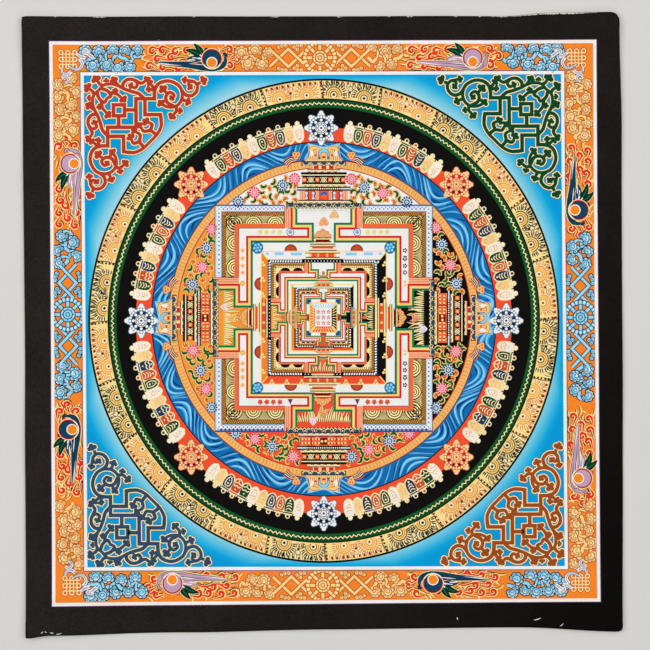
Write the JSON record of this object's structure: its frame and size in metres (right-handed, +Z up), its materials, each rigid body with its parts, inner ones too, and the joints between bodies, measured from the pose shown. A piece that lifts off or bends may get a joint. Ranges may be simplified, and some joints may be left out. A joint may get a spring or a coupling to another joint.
{
  "type": "thangka painting on cotton canvas",
  "caption": "Square cotton canvas painted with a ringed palace mandala inside a framed ornamental border, its margin black and its edges raw, lying flat and face up.",
  "frame": {"origin": "on the surface that the canvas lies on, under the middle of its outline", "axes": "+X to the painting's right, +Y to its top, +Z up out of its painted face"},
  "size_m": [0.601, 0.6252, 0.0052],
  "materials": {
    "canvas": "plain-woven cotton, sized and grounded with chalk and glue, painted in matt opaque mineral colours with a black margin"
  },
  "bodies": {
    "root": {"canvas": "canvas"}
  },
  "joints": []
}
